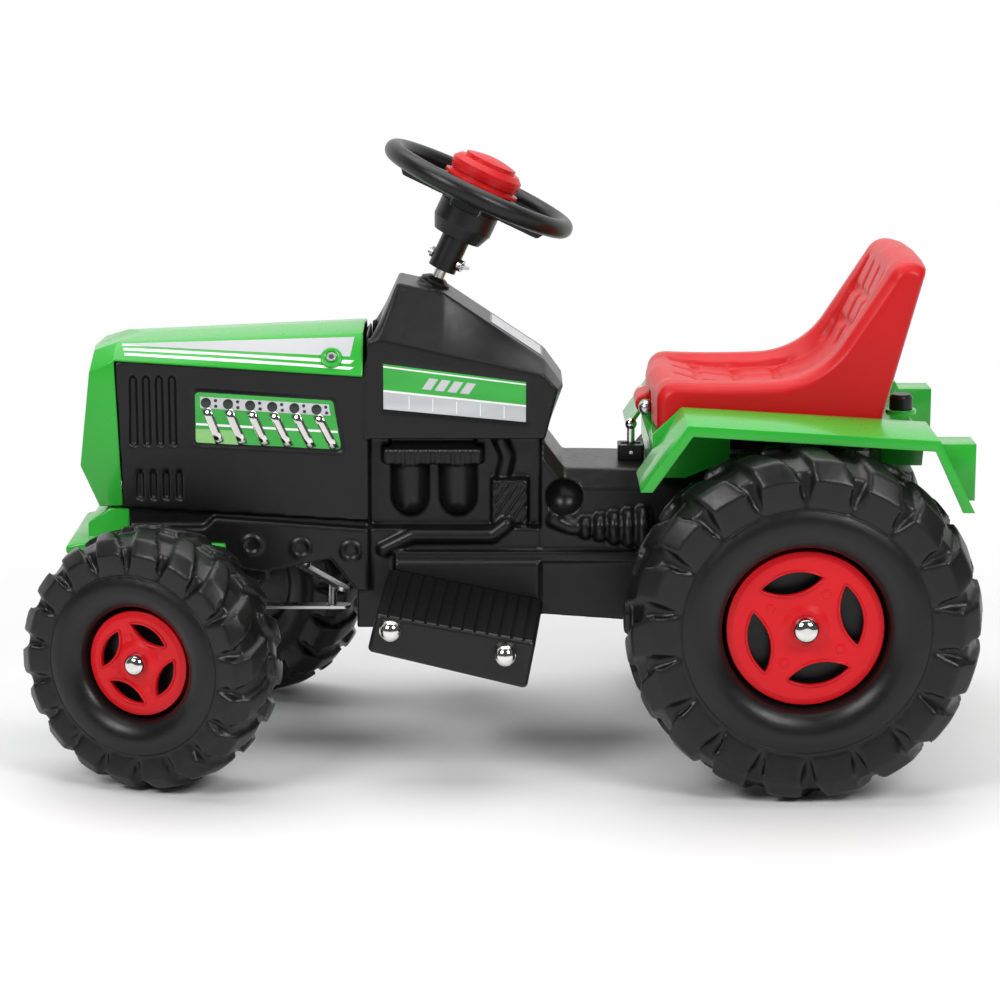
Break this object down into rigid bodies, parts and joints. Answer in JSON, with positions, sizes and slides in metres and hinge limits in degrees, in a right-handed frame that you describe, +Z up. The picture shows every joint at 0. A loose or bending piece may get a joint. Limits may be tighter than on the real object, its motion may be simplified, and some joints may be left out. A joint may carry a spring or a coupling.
{
  "type": "ride-on toy tractor",
  "caption": "Battery ride-on toy tractor: black hollow hull, green bonnet and fender deck, red tilting seat, steered front wheels, lugged tyres.",
  "frame": {"origin": "on the floor under the middle of the tractor", "axes": "+Z up; the tractor faces -X; its left side is -Y"},
  "size_m": [0.9082, 0.5028, 0.6009],
  "materials": {
    "black_plastic": "semi-matte blow-moulded black",
    "tyre_plastic": "semi-matte black",
    "green_plastic": "satin moulded green",
    "red_plastic": "satin moulded red",
    "zinc_steel": "zinc plated",
    "chrome": "bright plated",
    "nylon": "natural moulded",
    "battery_case": "matte case"
  },
  "bodies": {
    "chassis": {"main_body": "black_plastic", "bonnet": "green_plastic", "bonnet_screws": "zinc_steel", "front_bumper": "green_plastic", "fender_deck": "green_plastic", "seat_hinge_pin": "zinc_steel", "footrest_left": "black_plastic", "footrest_right": "black_plastic", "footrest_rods": "zinc_steel", "footrest_caps": "chrome", "pedal_pin": "zinc_steel", "battery": "battery_case", "gearbox": "nylon", "drive_motor": "zinc_steel", "rear_axle": "zinc_steel", "rear_axle_bushes": "nylon", "rear_axle_caps": "chrome", "tow_hitch": "zinc_steel", "front_axle_beam": "zinc_steel", "front_axle_bolts": "zinc_steel", "kingpin_bushes": "nylon", "column_collar": "black_plastic", "column_bush": "nylon", "lever_base": "black_plastic"},
    "steering": {"steering_column": "zinc_steel", "steering_wheel": "black_plastic", "wheel_socket": "black_plastic", "clamp_screw": "zinc_steel", "horn_base": "red_plastic", "horn_spring": "zinc_steel"},
    "horn": {"horn_button": "red_plastic"},
    "steer_left": {"knuckle_left": "zinc_steel", "kingpin_clip_left": "zinc_steel", "front_axle_cap_left": "chrome"},
    "steer_right": {"knuckle_right": "zinc_steel", "kingpin_clip_right": "zinc_steel", "front_axle_cap_right": "chrome"},
    "link": {"tie_bar": "zinc_steel"},
    "front_wheel_left": {"front_tyre_left": "tyre_plastic", "front_disc_left": "red_plastic", "front_bush_left": "nylon"},
    "front_wheel_right": {"front_tyre_right": "tyre_plastic", "front_disc_right": "red_plastic", "front_bush_right": "nylon"},
    "rear_wheel_left": {"rear_tyre_left": "tyre_plastic", "rear_disc_left": "red_plastic", "rear_bush_left": "nylon", "drive_dog": "nylon"},
    "rear_wheel_right": {"rear_tyre_right": "tyre_plastic", "rear_disc_right": "red_plastic", "rear_bush_right": "nylon"},
    "seat": {"seat": "red_plastic"},
    "knob": {"seat_knob": "black_plastic"},
    "lever": {"direction_lever": "chrome"},
    "pedal": {"accelerator_pedal": "black_plastic"}
  },
  "joints": [
    {"name": "steering_turn", "type": "hinge", "parent": "chassis", "child": "steering", "pos_m": [-0.0205, 0, 0.553], "axis": [0.4226, 0, 0.9063], "range_deg": [-3, 45]},
    {"name": "kingpin_left_turn", "type": "hinge", "parent": "chassis", "child": "steer_left", "pos_m": [-0.296, -0.08, 0.15], "axis": [0, 0, 1], "range_deg": [-3, 45]},
    {"name": "kingpin_right_turn", "type": "hinge", "parent": "chassis", "child": "steer_right", "pos_m": [-0.296, 0.08, 0.15], "axis": [0, 0, 1], "range_deg": [-3, 45]},
    {"name": "tie_bar_turn", "type": "hinge", "parent": "steer_left", "child": "link", "pos_m": [-0.25399, -0.09613, 0.1368], "axis": [0, 0, 1], "range_deg": [-45, 3]},
    {"name": "front_wheel_left_spin", "type": "hinge", "parent": "steer_left", "child": "front_wheel_left", "pos_m": [-0.33076, -0.17056, 0.126], "axis": [-0.3584, -0.9336, 0], "continuous": true},
    {"name": "front_wheel_right_spin", "type": "hinge", "parent": "steer_right", "child": "front_wheel_right", "pos_m": [-0.26124, 0.17056, 0.126], "axis": [-0.3584, -0.9336, 0], "continuous": true},
    {"name": "rear_wheel_left_spin", "type": "hinge", "parent": "chassis", "child": "rear_wheel_left", "pos_m": [0.284, -0.2, 0.168], "axis": [0, -1, 0], "continuous": true},
    {"name": "rear_wheel_right_spin", "type": "hinge", "parent": "chassis", "child": "rear_wheel_right", "pos_m": [0.284, 0.2, 0.168], "axis": [0, -1, 0], "continuous": true},
    {"name": "seat_tilt", "type": "hinge", "parent": "chassis", "child": "seat", "pos_m": [0.143, 0, 0.343], "axis": [0, -1, 0], "range_deg": [0, 60]},
    {"name": "seat_knob_turn", "type": "hinge", "parent": "chassis", "child": "knob", "pos_m": [0.398, 0, 0.335], "axis": [0, 0, 1], "continuous": true},
    {"name": "horn_press", "type": "slide", "parent": "steering", "child": "horn", "axis": [-0.4226, 0, -0.9063], "range_m": [0, 0.003], "stiffness_N_per_m": 800, "springref_m": -0.002, "deforming": ["horn_spring"]},
    {"name": "lever_swing", "type": "hinge", "parent": "chassis", "child": "lever", "pos_m": [0.13, 0, 0.29207], "axis": [0, 1, 0], "range_deg": [-15, 15]},
    {"name": "pedal_press", "type": "hinge", "parent": "chassis", "child": "pedal", "pos_m": [0.016, 0.122, 0.172], "axis": [0, -1, 0], "range_deg": [0, 10], "stiffness_Nm_per_rad": 1.2, "springref_deg": -8.59}
  ],
  "couplings": [
    {"joint": "kingpin_left_turn", "follows": "steering_turn", "ratio": 1},
    {"joint": "kingpin_right_turn", "follows": "steering_turn", "ratio": 1},
    {"joint": "tie_bar_turn", "follows": "steering_turn", "ratio": -1}
  ]
}
